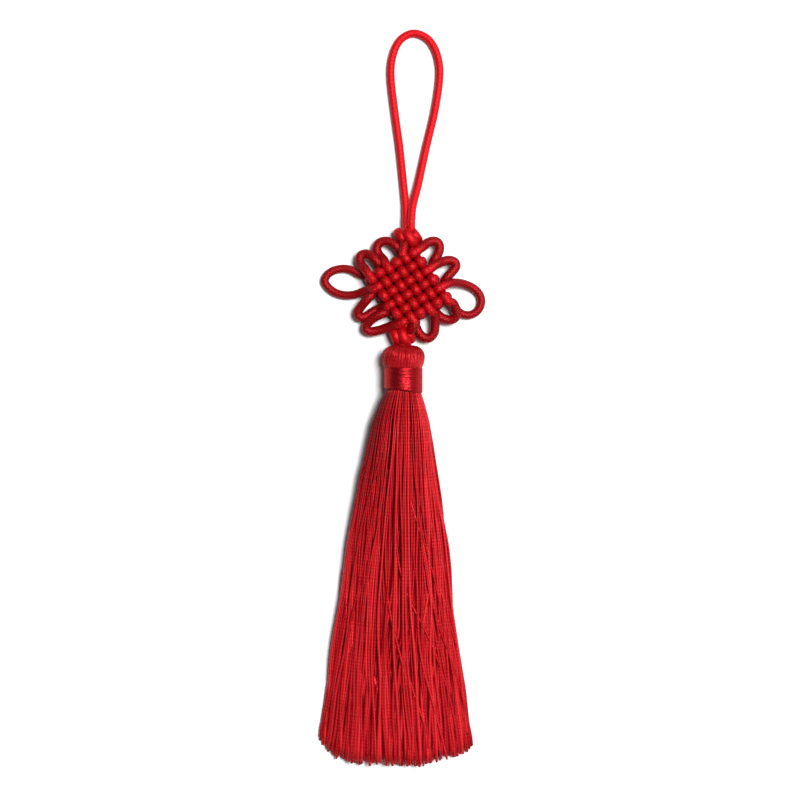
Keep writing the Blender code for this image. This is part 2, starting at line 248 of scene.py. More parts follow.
def lengths_along(paths):
    """Distance from each path's first point to every point of it."""
    steps = np.linalg.norm(np.diff(paths, axis=1), axis=2)
    return np.concatenate((np.zeros((len(paths), 1)), np.cumsum(steps, axis=1)), axis=1)


def add_cords(name, rings, lengths, finish, nodes, shade=0.5):
    """Closed tubes from rings of shape (threads, rings, sides, 3) in millimetres, as one piece.

    With one more length than rings, each tube joins its last ring to its first;
    otherwise both ends have a flat face. Its UV map counts turns round the tube
    and millimetres along it. Its shade, the higher the lighter, is a number or
    an array that spreads to the shape (threads, rings). What would go below the
    table lies flat on it.
    """
    rings[..., 2] = np.maximum(rings[..., 2], 0.0)
    threads, count, sides = rings.shape[:3]
    index = np.arange(threads * count * sides).reshape(threads, count, sides)
    ends = np.concatenate((index[:, 0, ::-1], index[:, -1]))
    end_lengths = np.concatenate((lengths[:, 0], lengths[:, -1]))
    if lengths.shape[1] > count:
        index = np.concatenate((index, index[:, :1]), axis=1)
        ends, end_lengths = ends[:0], end_lengths[:0]
    here, there = index[:, :-1], index[:, 1:]
    walls = np.stack((here, np.roll(here, -1, 2), np.roll(there, -1, 2), there), axis=-1)
    mesh = bpy.data.meshes.new(name)
    mesh.from_pydata((rings.reshape(-1, 3) * MM).tolist(), [],
                     walls.reshape(-1, 4).tolist() + ends.tolist())
    turn = np.arange(sides) / sides
    wall_u = np.broadcast_to(np.stack((turn, turn + 1 / sides, turn + 1 / sides, turn), -1), walls.shape)
    wall_v = np.stack((lengths[:, :-1], lengths[:, :-1], lengths[:, 1:], lengths[:, 1:]), axis=-1)
    wall_v = np.broadcast_to(wall_v[:, :, None], walls.shape)
    end_v = end_lengths[:, None].repeat(sides, 1)
    uv = np.concatenate((np.stack((wall_u, wall_v), axis=-1).reshape(-1, 2),
                         np.stack((0 * end_v, end_v), axis=-1).reshape(-1, 2)))
    mesh.uv_layers.new(name="lay").data.foreach_set("uv", uv.ravel())
    mesh.attributes.new("shade", "FLOAT", "POINT").data.foreach_set(
        "value", np.repeat(np.broadcast_to(shade, (threads, count)), sides))
    mesh.materials.append(finish.owner)
    mesh.shade_smooth()
    piece = bpy.data.objects.new(name, mesh)
    bpy.context.collection.objects.link(piece)
    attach(piece, "root")
    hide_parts(*nodes)


def braid_relief(lengths, sides):
    """Height of a round braid's surface: small diamonds between two sets of slanting grooves.

    The diamonds are |sin(pi p) sin(pi q)| to a low power, where p and q count
    yarns round the cord plus and minus lays along it.
    """
    turn = np.arange(sides) / sides * BRAID_YARNS
    lay = lengths[..., None] / BRAID_LAY
    diamonds = np.abs(np.sin(np.pi * (turn + lay)) * np.sin(np.pi * (turn - lay)))
    return BRAID_RELIEF * (diamonds ** DIAMOND_FULLNESS - 0.5)


SILK_LIGHT = (0.80, 0.010, 0.016, 1.0)
SILK_MID = (0.55, 0.002, 0.006, 1.0)
SILK_DEEP = (0.12, 0.000, 0.001, 1.0)
SILK_GLEAM = (1.0, 0.18, 0.20, 1.0)
BRAID_FIBRES = (30.0, 4.0, 1.0)
FIBRE_TONE, CORD_SHADE_TONE = 0.6, 0.8
BASE_TONE, CREST_TONE = -0.02, 0.8
BRAID_ROUGHNESS, FIBRE_ROUGHNESS = 0.34, 0.3
BRAID_BUMP, BRAID_BUMP_DEPTH, FIBRE_BUMP = 0.9, 0.1 * MM, 0.5
# Painted light: the loop's cord is lighter than the same cord in the knot.
LOOP_PAINTED_LIGHT = 0.54


def drawn_fibres(finish, lay, steps, detail):
    """Noise drawn out along the lay: the lay's turns and lengths are multiplied by steps first."""
    stretched = finish.node("ShaderNodeVectorMath", {0: lay, 1: steps}, operation="MULTIPLY")
    return finish.node("ShaderNodeTexNoise", {"Scale": 1.0, "Detail": detail, "Vector": stretched})


def silk_braid(name, contrast, **constants):
    """Finish of braided silk: fine fibres over the diamonds of braid_relief, in the piece's shade.

    The contrast of the diamonds goes from 0 to 1. Their crests keep their
    brightness, so it is the grooves that get darker with it: painted shade in
    the grooves, beside the bump of the same diamonds.
    """
    finish = Finish(name, Specular_Tint=SILK_GLEAM, **constants)
    lay = finish.node("ShaderNodeUVMap", uv_map="lay")
    round_cord = finish.node("ShaderNodeSeparateXYZ", {"Vector": lay}, output="X")
    along_cord = finish.node("ShaderNodeSeparateXYZ", {"Vector": lay}, output="Y")
    slants = [finish.node("ShaderNodeMath", {0: (round_cord * BRAID_YARNS + along_cord * way) * math.pi},
                          operation="SINE") for way in (1 / BRAID_LAY, -1 / BRAID_LAY)]
    diamonds = finish.node("ShaderNodeMath", {0: slants[0] * slants[1]}, operation="ABSOLUTE")
    yarns = diamonds ** DIAMOND_FULLNESS
    fibres = drawn_fibres(finish, lay, BRAID_FIBRES, detail=3.0)
    shade = finish.node("ShaderNodeAttribute", output="Fac", attribute_name="shade")
    # Painted shade: the base colour is darker in the diamonds' grooves.
    tone = (yarns * contrast + fibres * FIBRE_TONE + shade * CORD_SHADE_TONE
            + (BASE_TONE - CREST_TONE * contrast))
    finish.feed(finish.shader, {
        "Base Color": finish.node("ShaderNodeValToRGB", {"Fac": tone},
                                  stops=((0, SILK_DEEP), (0.5, SILK_MID), (1, SILK_LIGHT))),
        "Roughness": fibres * FIBRE_ROUGHNESS + BRAID_ROUGHNESS,
        "Normal": finish.node("ShaderNodeBump", {"Height": yarns * contrast + fibres * FIBRE_BUMP,
                                                 "Strength": BRAID_BUMP, "Distance": BRAID_BUMP_DEPTH}),
    })
    return finish


braid = silk_braid("braided_silk", 0.5, IOR=1.7, Metallic=0.3)
loop_left = [(middle - half, up, low) for up, middle, half, low, high in LOOP_SECTIONS]
loop_right = [(middle + half, up, high) for up, middle, half, low, high in LOOP_SECTIONS]
loop_path = curve_through(loop_left + [LOOP_TOP] + loop_right[::-1], CORD_STEP)[None]
loop_lengths = lengths_along(loop_path)
loop_size = CORD + 2 * braid_relief(loop_lengths, CORD_SIDES)
add_cords("hanging_cord", rings_round(loop_path, loop_size, loop_size, CORD_SIDES), loop_lengths,
          braid, ["hanging_loop"], LOOP_PAINTED_LIGHT)


# Diamond knot
# The same cord goes on as two strands, each woven back and forth through six
# rows, over and under by turns on both faces, with an ear between two rows.
ROWS = 6
MIDDLE_ROW = (ROWS - 1) / 2
KNOT_CENTRE = np.array((2.637, 36.765))
WEAVE_CENTRE = KNOT_CENTRE + np.array((-0.7, -0.75))
STEP_RISE = np.array((2.79, 1.65))
STEP_FALL = np.array((2.06, -2.90))
KNOT_MID_HEIGHT = 3.75
LAYER_OFFSET = 1.95
WEAVE_RISE = 1.2
CREST = 0.26
CREST_SIZE = (2.75, 1.9)
DIP_SIZE = (2.6, 1.6)
EAR_SIZE = (3.05, 2.9)
CORNER_EAR, CORNER_EAR_SIZE = 2, (2.7, 2.7)
ROW_END = 0.42
# Painted shade: the ears are darker than the weave, though both are the same cord.
WEAVE_SHADE, EAR_PAINTED_SHADE = 0.2, -0.06
STRAND_SIDES = 28
TURN_OUT = (
    # steps past the last crossing, and height as a share of a face's
    (0.34, 0.75), (0.46, 0.0), (0.34, -0.75),
)
STRAND_ROWS = {
    # the row of each pass, in the order in which the strand takes them
    "left": (("fall", 4), ("fall", 2), ("fall", 0), ("rise", 1), ("rise", 3), ("rise", 5)),
    "right": (("rise", 0), ("rise", 2), ("rise", 4), ("fall", 5), ("fall", 3), ("fall", 1)),
}
EARS = {
    # x and y from the knot's centre, and height
    "left": (
        ((-2.7, 10.9, 2.2), (-3.6, 11.6, 3.8), (-4.8, 13.1, 4.1), (-6.6, 14.4, 3.8), (-8.8, 14.7, 3.4),
         (-10.5, 13.8, 3.2), (-11.1, 12.0, 3.1), (-10.2, 10.1, 3.1), (-8.8, 8.5, 4.4)),
        ((-9.0, 6.7, 2.6), (-10.2, 7.0, 4.6), (-11.3, 8.3, 5.1), (-12.7, 9.7, 4.7), (-14.4, 10.5, 3.9),
         (-16.1, 10.1, 3.6), (-16.7, 8.6, 3.8), (-16.0, 6.8, 4.4), (-14.7, 5.2, 5.8)),
        ((-14.5, 3.4, 1.5), (-16.6, 3.9, 1.8), (-19.3, 5.3, 1.6), (-22.2, 5.8, 1.4), (-25.2, 5.2, 1.4),
         (-27.4, 3.7, 1.4), (-28.2, 1.7, 1.4), (-27.2, -0.2, 1.4), (-24.9, -2.0, 1.4),
         (-21.9, -2.9, 1.7), (-18.6, -2.8, 2.2), (-15.5, -1.8, 3.4), (-13.2, -1.0, 5.2)),
        ((-11.6, -1.9, 2.4), (-12.7, -2.9, 4.7), (-14.6, -4.9, 4.8), (-16.2, -6.8, 3.9),
         (-17.3, -8.6, 3.3), (-16.8, -10.1, 2.9), (-14.9, -10.1, 2.6), (-12.7, -8.7, 2.4),
         (-10.6, -7.5, 2.6), (-8.7, -6.8, 4.4)),
        ((-7.2, -8.2, 2.6), (-8.2, -8.7, 4.9), (-10.5, -9.7, 5.2), (-12.7, -11.0, 4.4),
         (-14.3, -12.7, 3.6), (-14.5, -14.2, 3.2), (-13.0, -15.0, 3.1), (-10.5, -14.6, 3.3),
         (-7.9, -13.8, 4.0), (-5.2, -12.9, 5.4)),
    ),
    "right": (
        ((4.1, 12.8, 5.6), (5.6, 14.1, 4.6), (7.4, 14.7, 4.0), (9.0, 14.2, 3.6), (9.6, 12.6, 3.5),
         (9.2, 10.8, 3.8), (8.2, 9.0, 4.5), (7.5, 7.4, 3.9), (7.4, 6.5, 2.0)),
        ((8.7, 7.1, 5.8), (10.5, 7.9, 4.8), (12.7, 8.4, 4.2), (14.5, 7.8, 3.8), (14.9, 6.3, 3.6),
         (13.7, 4.6, 3.8), (12.3, 3.1, 4.3), (11.4, 1.8, 3.8), (11.4, 0.8, 1.9)),
        ((13.2, 0.9, 5.4), (16.2, 1.0, 3.6), (19.1, 0.2, 2.4), (21.5, -1.2, 1.8), (23.0, -3.2, 1.5),
         (23.3, -5.4, 1.4), (22.5, -7.6, 1.4), (20.7, -9.1, 1.4), (18.4, -9.5, 1.5), (16.3, -8.7, 1.7),
         (14.9, -7.0, 1.7), (13.8, -5.3, 1.3)),
        ((13.9, -5.8, 5.8), (14.8, -7.4, 5.0), (15.2, -9.2, 4.4), (14.5, -10.6, 3.9), (12.7, -11.2, 3.5),
         (10.6, -10.6, 3.6), (9.0, -9.4, 3.6), (8.1, -8.3, 2.2)),
        ((7.9, -9.1, 5.6), (8.1, -11.1, 4.6), (8.1, -13.4, 4.0), (7.7, -15.5, 3.6), (6.1, -17.1, 3.4),
         (4.0, -16.7, 3.4), (2.5, -14.9, 3.6), (1.7, -12.9, 3.4), (1.7, -11.7, 1.8)),
    ),
}
STRAND_ENDS = {
    # x and y from the knot's centre, and height
    "left in": ((-1.9, 14.6, 4.6), (-2.0, 13.2, 5.6)),
    "left out": ((-3.7, -13.0, 2.4), (-3.4, -14.6, 3.2)),
    "right in": ((1.8, 15.0, 3.4), (3.0, 13.9, 2.4)),
    "right out": ((1.7, -12.3, 6.6), (0.7, -13.9, 6.3), (-0.4, -15.3, 5.2)),
}


def lattice(i, j):
    """Point of the weave: the centre, i steps along the rising way and j along the falling one."""
    return WEAVE_CENTRE + (i - MIDDLE_ROW) * STEP_RISE + (j - MIDDLE_ROW) * STEP_FALL


def row_point(runs, row, along, height, size):
    """One station on a row of the weave: its point, height, size and shade."""
    spot = lattice(row, along) if runs == "fall" else lattice(along, row)
    return (*spot, height, *size, WEAVE_SHADE)


def face_run(runs, row, travel, face, end_first):
    """One pass across the knot on its front (1) or back (-1) face, over and under by turns.

    Each crossing has two stations, CREST of a step before and after it, and the
    pass starts or ends ROW_END of a step outside its outermost crossing.
    """
    step = travel[1] - travel[0]
    run = []
    for place in travel:
        outside = (row + place) % 2 == (0 if runs == "fall" else 1)
        height = KNOT_MID_HEIGHT + face * (LAYER_OFFSET + (WEAVE_RISE if outside else -WEAVE_RISE))
        size = CREST_SIZE if outside else DIP_SIZE
        places = [place - CREST * step, place + CREST * step]
        if end_first and place == travel[0]:
            places.insert(0, place - ROW_END * step)
        if not end_first and place == travel[-1]:
            places.append(place + ROW_END * step)
        run += [row_point(runs, row, spot, height, size) for spot in places]
    return run


def free_run(points, size):
    """Stations of round cord outside the weave, from points measured from the knot's centre.

    Each is the centre plus the point, with the size and the ears' painted shade.
    """
    return [(KNOT_CENTRE[0] + x, KNOT_CENTRE[1] + y, height, *size, EAR_PAINTED_SHADE) for x, y, height in points]


def strand_stations(side, travel, face):
    """Stations of one strand: six passes out and back, with a turn at the far edge and five ears."""
    step = travel[1] - travel[0]
    stations = free_run(STRAND_ENDS[side + " in"], EAR_SIZE)
    ears = EARS[side] + (STRAND_ENDS[side + " out"],)
    for n, ((runs, row), points) in enumerate(zip(STRAND_ROWS[side], ears)):
        stations += face_run(runs, row, travel, face, True)
        stations += [row_point(runs, row, travel[-1] + reach * step,
                               KNOT_MID_HEIGHT + face * share * LAYER_OFFSET, DIP_SIZE)
                     for reach, share in TURN_OUT]
        stations += face_run(runs, row, travel[::-1], -face, False)
        stations += free_run(points, CORNER_EAR_SIZE if n == CORNER_EAR else EAR_SIZE)
    return stations


for side, travel, face in (("left", list(range(ROWS)), 1), ("right", list(range(ROWS))[::-1], -1)):
    strand = curve_through(strand_stations(side, travel, face), CORD_STEP)
    strand_path = strand[None, :, :3]
    strand_lengths = lengths_along(strand_path)
    relief = 2 * braid_relief(strand_lengths, STRAND_SIDES)
    strand_rings = rings_round(strand_path, strand[:, 3:4] + relief, strand[:, 4:5] + relief,
                               STRAND_SIDES)
    add_cords("knot_cord_" + side, strand_rings, strand_lengths, braid,
              ["knot_strand_" + side], strand[None, :, 5])


# Connection knots
# Above and below the diamond knot both strands are tied together: slanting wraps
# of the same cord lie side by side across the front, closed at the back. From
# the lower knot the cord goes on into the tassel's head.
CONNECTION_KNOTS = (
    # name, node, slant in degrees, and each wrap's middle and half length
    ("upper_wraps", "connection_knot_top", -53.0,
     ((-0.3, 52.8, 3.1, 2.2), (2.3, 52.5, 4.1, 2.9), (4.1, 53.2, 3.4, 1.7))),
    ("lower_wraps", "connection_knot_low", -68.0,
     ((-2.2, 20.2, 3.2, 2.3), (0.35, 20.0, 4.1, 2.75), (2.1, 20.9, 3.2, 2.1))),
)
WRAP_SIZE = (3.3, 2.4)
WRAP_HALF_DEPTH = 2.05
WRAP_RINGS = 90
WRAP_SHADE = 0.2

stretched_braid = silk_braid("stretched_braid", 0.25, IOR=1.8, Metallic=0.4)

# A wrap is an ellipse: its middle, plus the slanting way times its half length
# times the cosine of the turn, plus the depth times the sine.
for name, node, slant, wraps in CONNECTION_KNOTS:
    angle = math.radians(slant)
    wrap_way = np.array((math.cos(angle), math.sin(angle), 0.0))
    wrap_side = np.array((-math.sin(angle), math.cos(angle), 0.0))
    turn = np.linspace(0.0, 2 * np.pi, WRAP_RINGS + 1)[None, :, None]
    wrap_sizes = np.array(wraps)[:, None]
    wrap_paths = (wrap_sizes[..., :3] + wrap_way * wrap_sizes[..., 3:] * np.cos(turn)
                  + np.array((0.0, 0.0, WRAP_HALF_DEPTH)) * np.sin(turn))
    wrap_lengths = lengths_along(wrap_paths)
    wrap_rings = rings_round(wrap_paths, *WRAP_SIZE, STRAND_SIDES,
                             np.broadcast_to(wrap_side, wrap_paths.shape))[:, :-1]
    add_cords(name, wrap_rings, wrap_lengths, stretched_braid, [node], WRAP_SHADE)

KNOT_TO_HANK = ((0.35, 20.0, 4.1), (0.33, 17.5, 5.0), (0.32, 15.0, 5.7), (0.32, 12.0, 5.85))
hank_path = curve_through(KNOT_TO_HANK, CORD_STEP)[None]
hank_lengths = lengths_along(hank_path)
hank_size = CORD + 2 * braid_relief(hank_lengths, CORD_SIDES)
add_cords("hank_cord", rings_round(hank_path, hank_size, hank_size, CORD_SIDES), hank_lengths,
          braid, ["connection_knot_low"])


# Tassel head
# A hank of twisted silk thread is folded over the cord's end, so its threads run
# out from the top, over a round shoulder and down under the binding.
HEAD_X = 0.317
HEAD_TOP = 17.215
HEAD_HEIGHT = 5.85
HEAD_THREADS = 270
HEAD_THREAD, HEAD_THREAD_FLATNESS = 0.5, 0.8
HEAD_SIDES = 6
HEAD_STEP = 0.45
HEAD_PROFILE = (
    # down, radius
    (0.6, 0.9),
    (0.2, 2.4),
    (0.4, 4.2),
    (1.4, 5.75),
    (3.1, 6.55),
    (5.0, 6.55),
    (6.4, 6.25),
    (7.3, 5.9),
    (8.3, 5.3),
)
LEAN, LEAN_STRAY, LEAN_PIVOT = 0.3, 0.16, 0.4
LEAN_FOLDS, LEAN_FOLD, FIRST_FOLD = 3, 0.35, 1.0
LIFT_STRAY, UNDER_SINK = 0.16, 0.35
HEAD_SHADE, HEAD_SHADE_OWN, PAINTED_CROWN_SHADE = -0.08, 0.4, 0.6
THREAD_LIGHT = (0.72, 0.024, 0.032, 1.0)
THREAD_MID = (0.32, 0.001, 0.004, 1.0)
THREAD_DEEP = (0.10, 0.000, 0.001, 1.0)
THREAD_FIBRES = (9.0, 1.4, 1.0)
THREAD_PLIES, PLY_TURNS = 2.0, 0.9
THREAD_SHADE_TONE, FUZZ_TONE, TWIST_SHADE_PAINTED, LENGTH_TONE = 0.6, 0.3, 0.06, 0.0008
THREAD_ROUGHNESS, FUZZ_ROUGHNESS = 0.22, 0.3
THREAD_BUMP, THREAD_BUMP_DEPTH, TWIST_BUMP = 0.5, 0.05 * MM, 0.4

threads = Finish("silk_threads", IOR=1.7, Specular_Tint=SILK_GLEAM, Metallic=0.25)
thread_lay = threads.node("ShaderNodeUVMap", uv_map="lay")
thread_shade = threads.node("ShaderNodeAttribute", output="Fac", attribute_name="shade")
round_thread = threads.node("ShaderNodeSeparateXYZ", {"Vector": thread_lay}, output="X")
along_thread = threads.node("ShaderNodeSeparateXYZ", {"Vector": thread_lay}, output="Y")
twist = threads.node("ShaderNodeMath", {
    0: (round_thread * THREAD_PLIES + along_thread * PLY_TURNS) * (2 * math.pi)}, operation="SINE")
fuzz = drawn_fibres(threads, thread_lay, THREAD_FIBRES, detail=2.0)
# Painted shade and highlight: the twist makes each thread darker in its grooves and lighter on its ridges.
thread_tone = (thread_shade * THREAD_SHADE_TONE + fuzz * FUZZ_TONE + twist * TWIST_SHADE_PAINTED
               + along_thread * LENGTH_TONE)
threads.feed(threads.shader, {
    "Base Color": threads.node("ShaderNodeValToRGB", {"Fac": thread_tone},
                               stops=((0, THREAD_DEEP), (0.4, THREAD_MID), (1, THREAD_LIGHT))),
    "Roughness": fuzz * FUZZ_ROUGHNESS + THREAD_ROUGHNESS,
    "Normal": threads.node("ShaderNodeBump", {"Height": twist * TWIST_BUMP + fuzz,
                                              "Strength": THREAD_BUMP, "Distance": THREAD_BUMP_DEPTH}),
})

# A thread follows the profile and leans round the axis on its way down. Every
# other one lies under its neighbours, straighter and a little deeper.
dice = np.random.default_rng(21)
head_curve = curve_through([(down, radius, 0.0) for down, radius in HEAD_PROFILE], HEAD_STEP)[:, :2]
head_share = np.linspace(0.0, 1.0, len(head_curve))[None, :]
head_turn = np.arange(HEAD_THREADS) * 2 * np.pi / HEAD_THREADS
lean = (LEAN + LEAN_FOLD * np.sin(LEAN_FOLDS * head_turn + FIRST_FOLD)
        + LEAN_STRAY * dice.standard_normal(HEAD_THREADS))
under = np.arange(HEAD_THREADS)[:, None] % 2
swing = head_turn[:, None] + (lean[:, None] * (1 - under) + LEAN * under) * (head_share - LEAN_PIVOT)
lift = LIFT_STRAY * dice.standard_normal((HEAD_THREADS, 1)) - UNDER_SINK * under
head_radius = head_curve[None, :, 1] + lift * np.sin(np.pi * head_share)
head_paths = np.stack((HEAD_X + np.cos(swing) * head_radius,
                       HEAD_TOP - head_curve[None, :, 0] + 0 * swing,
                       np.maximum(HEAD_HEIGHT + np.sin(swing) * head_radius, HEAD_THREAD / 2)), axis=-1)
head_side = np.stack((-np.sin(swing), 0 * swing, np.cos(swing)), axis=-1)
head_rings = rings_round(head_paths, HEAD_THREAD, HEAD_THREAD * HEAD_THREAD_FLATNESS, HEAD_SIDES,
                         head_side)
# Painted shade: the head's threads are darker at the crown and lighter down towards the binding, on top of
# their own random tone.
head_shade = HEAD_SHADE_OWN * dice.random((HEAD_THREADS, 1)) + PAINTED_CROWN_SHADE * head_share + HEAD_SHADE
add_cords("head_threads", head_rings, lengths_along(head_paths), threads,
          ["tassel"], head_shade)


# Binding
# Silk thread wound tightly round the neck, turn beside turn, with its edges
# rounded over and the lower edge a little skewed.
BINDING_TURNS = 22
BINDING_ROWS = 7
BINDING_SPOKES = 144
BINDING_TOP, BINDING_BOTTOM = 7.3, 14.9
BINDING_RADIUS = 6.28
BINDING_INNER = 5.5
BINDING_RELIEF, WINDING_FULLNESS = 0.05, 0.7
BINDING_EDGE = 0.45
BINDING_SKEW = 0.8
BINDING_LIGHT = (0.60, 0.020, 0.028, 1.0)
BINDING_MID = (0.30, 0.003, 0.007, 1.0)
BINDING_DEEP = (0.08, 0.000, 0.001, 1.0)
BINDING_STREAKS, BINDING_PATCHES = (14.0, 9.0, 1.0), (9.0, 0.8, 1.0)
STREAK_TONE, PATCH_TONE = 0.5, 0.5
BINDING_ROUGHNESS, STREAK_ROUGHNESS = 0.24, 0.2
BINDING_BUMP, BINDING_BUMP_DEPTH, STREAK_BUMP = 0.6, 0.3 * MM, 0.15

satin = Finish("binding_thread", IOR=2.2, Specular_Tint=SILK_GLEAM, Metallic=0.7)
satin_lay = satin.node("ShaderNodeUVMap", uv_map="lay")
streaks = drawn_fibres(satin, satin_lay, BINDING_STREAKS, detail=4.0)
patches = drawn_fibres(satin, satin_lay, BINDING_PATCHES, detail=2.0)
satin_tone = streaks * STREAK_TONE + patches * PATCH_TONE
satin.feed(satin.shader, {
    "Base Color": satin.node("ShaderNodeValToRGB", {"Fac": satin_tone},
                             stops=((0, BINDING_DEEP), (0.5, BINDING_MID), (1, BINDING_LIGHT))),
    "Roughness": streaks * STREAK_ROUGHNESS + BINDING_ROUGHNESS,
    "Normal": satin.node("ShaderNodeBump", {"Height": patches + streaks * STREAK_BUMP,
                                            "Strength": BINDING_BUMP, "Distance": BINDING_BUMP_DEPTH}),
})

# The outer face stands at the radius, less a quarter circle at both edges, plus
# the ridges |sin(pi w)| to a low power, where w counts windings down the band and
# gains one with each turn. An inner face closes the ring.
rows = BINDING_TURNS * BINDING_ROWS
share = np.linspace(0.0, 1.0, rows)[:, None]
spin = (np.arange(BINDING_SPOKES) * 2 * np.pi / BINDING_SPOKES)[None, :]
edge = (BINDING_BOTTOM - BINDING_TOP) * np.minimum(share, 1 - share) / BINDING_EDGE
rounding = BINDING_EDGE * (1 - np.sqrt(1 - (1 - np.minimum(edge, 1.0)) ** 2))
windings = share * BINDING_TURNS + spin / (2 * np.pi)
ridge = np.abs(np.sin(np.pi * windings)) ** WINDING_FULLNESS
outer = BINDING_RADIUS - rounding + BINDING_RELIEF * (ridge - 0.5)
inner = np.full((1, BINDING_SPOKES), BINDING_INNER)
radius = np.vstack((inner, outer, inner))
down = np.vstack((share[:1], share, share[-1:])) * (BINDING_BOTTOM - BINDING_TOP) + BINDING_TOP
down = down + BINDING_SKEW * np.cos(spin) * (down - BINDING_TOP) / (BINDING_BOTTOM - BINDING_TOP)
band_points = np.stack((HEAD_X + radius * np.cos(spin), HEAD_TOP - down,
                        np.maximum(HEAD_HEIGHT - radius * np.sin(spin), 0.0)), axis=-1)
index = np.arange(radius.size).reshape(radius.shape)
below = np.roll(index, -1, 0)
walls = np.stack((index, below, np.roll(below, -1, 1), np.roll(index, -1, 1)), axis=-1)
band_mesh = bpy.data.meshes.new("binding_band")
band_mesh.from_pydata((band_points.reshape(-1, 3) * MM).tolist(), [], walls.reshape(-1, 4).tolist())
spoke = np.broadcast_to(np.arange(BINDING_SPOKES) / BINDING_SPOKES, index.shape)
next_spoke = np.broadcast_to(np.arange(1, BINDING_SPOKES + 1) / BINDING_SPOKES, index.shape)
row = np.broadcast_to(np.arange(len(radius))[:, None] / BINDING_ROWS, index.shape)
next_row = row + 1 / BINDING_ROWS
band_lay = np.stack((spoke, row, spoke, next_row, next_spoke, next_row, next_spoke, row), axis=-1)
band_mesh.uv_layers.new(name="lay").data.foreach_set("uv", band_lay.ravel())
band_mesh.materials.append(satin.owner)
band_mesh.shade_smooth()
band = bpy.data.objects.new("binding_band", band_mesh)
bpy.context.collection.objects.link(band)
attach(band, "root")
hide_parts("binding")


# Skirt
# Several hundred fine twisted silk threads hang from under the binding. They
# leave it as a tight round bundle and spread to a low, wide fan on the table.
SKIRT_SECTIONS = np.array((
    # down from the roots, and the left and right edge's distance from the axis
    (-3.0, 5.2, 5.2),
    (0.0, 5.5, 5.4),
    (2.0, 6.9, 6.3),
    (10.0, 10.1, 8.5),
    (28.0, 13.7, 10.8),
    (50.0, 18.2, 13.7),
    (73.0, 21.2, 16.0),
    (103.0, 25.2, 20.0),
    (116.0, 27.1, 22.0),
    (125.0, 27.9, 22.8),
))
HEM = np.array((
    # place across from -1 to 1, down from the roots
    (-1.00, 114.6),
    (-0.85, 119.0),
    (-0.60, 121.4),
    (0.00, 122.6),
    (0.25, 123.0),
    (0.60, 120.9),
    (0.85, 119.5),
    (1.00, 117.0),
))
ROOT_DOWN, ROOT_HIDDEN = 14.9, 2.5
SKIRT_THREADS = 500
SKIRT_PIECES = 4
SKIRT_RINGS, RING_CROWDING = 46, 1.1
SKIRT_SIDES = 6
THREAD_AT_ROOT, THREAD_AT_HEM, THREAD_SWELL = 0.34, 1.1, 0.8
THREAD_VARIES = (0.75, 1.25)
TIP_TAPER, TIP_LENGTH = 0.35, 1.5
BUNDLE_REACH, BUNDLE_ARC = 5.1, 0.86
HALF_AT_ROOT, HALF_AT_HEM = 5.3, 25.4
PILE_HEIGHT, PILE_FULLNESS, PILE_SETTLING = 4.6, 3, 1.4
SKIRT_LOCKS, LOCK_STRAY = 34, 0.55
GATHER, GATHER_EARLY, FAN_REACH = 0.5, 0.8, 0.985
LOCK_DRIFT, OWN_DRIFT, DRIFT_REACH, DRIFT_LATE = 0.04, 0.065, 1.03, 1.5
WANDERERS, WANDER_REACH, WANDER_TAIL = 0.6, 0.24, 3
CROSSINGS, CROSSING_LENGTH = (25.0, 105.0), 18.0
SHORT_THREADS, SHORT_BY, UNEVEN_BY = 0.12, 8.0, 1.6
HEM_DROP, HEM_VARIES = 0.3, 0.6
# shortest and longest wave, least and most reach
SHORT_WAVES = ((24.0, 50.0), 0.1, 0.4)
LONG_WAVES = ((60.0, 110.0), 0.2, 0.9)
LOCK_WAVES = ((45.0, 110.0), 0.2, 0.8)
STRAY_REACH, STRAY_DOWN, STRAY_LENGTH = (1.6, 2.3), 54.0, 16.0
SHADE_LOW, PAINTED_PILE_SHADE, SHADE_OWN, SHADE_RARITY = 0.05, 0.3, 0.75, 1.5
SHADE_AT_ROOT, ROOT_CONTRAST = 0.52, 0.55
PAINTED_FLANK_SHADE, FLANK_LENGTH = 0.8, 40.0
FLANK_START, FLANK_BLEND = 0.4, 0.5
GOLDEN = (math.sqrt(5) - 1) / 2

# Each thread has a place across from -1 to 1, a level in the pile from 0 to 1 and
# a lock that it gathers in. Further down it drifts off its place a little, and
# some of the upper ones wander across their neighbours, a few of them far.
order = np.arange(SKIRT_THREADS)
place = 2 * ((order * GOLDEN) % 1.0) - 1
level = (order + 0.5) / SKIRT_THREADS
lock = np.clip(((place + 1) / 2 * SKIRT_LOCKS + dice.normal(0.0, LOCK_STRAY, SKIRT_THREADS)).astype(int),
               0, SKIRT_LOCKS - 1)
lock_middle = 2 * (lock + 0.5) / SKIRT_LOCKS - 1
lock_drift = dice.normal(0.0, LOCK_DRIFT, SKIRT_LOCKS)[lock]
own_drift = dice.normal(0.0, OWN_DRIFT, SKIRT_THREADS)
free = DRIFT_REACH - np.abs(place)
drift = np.clip(lock_drift + own_drift, -free, free)
wanders = dice.random(SKIRT_THREADS) < WANDERERS * level
wander = np.where(wanders, dice.standard_t(WANDER_TAIL, SKIRT_THREADS) * WANDER_REACH, 0.0)
stray = np.argsort(place)[-2:]
drift[stray], wander[stray] = 0.0, 0.0
landing = np.clip(place + drift + wander, -1.0, 1.0)
short = (np.where(dice.random(SKIRT_THREADS) < SHORT_THREADS, SHORT_BY, UNEVEN_BY)
         * dice.random(SKIRT_THREADS))
ends = (np.interp(landing, HEM[:, 0], HEM[:, 1]) + dice.normal(0.0, HEM_VARIES, SKIRT_LOCKS)[lock]
        - short + HEM_DROP)

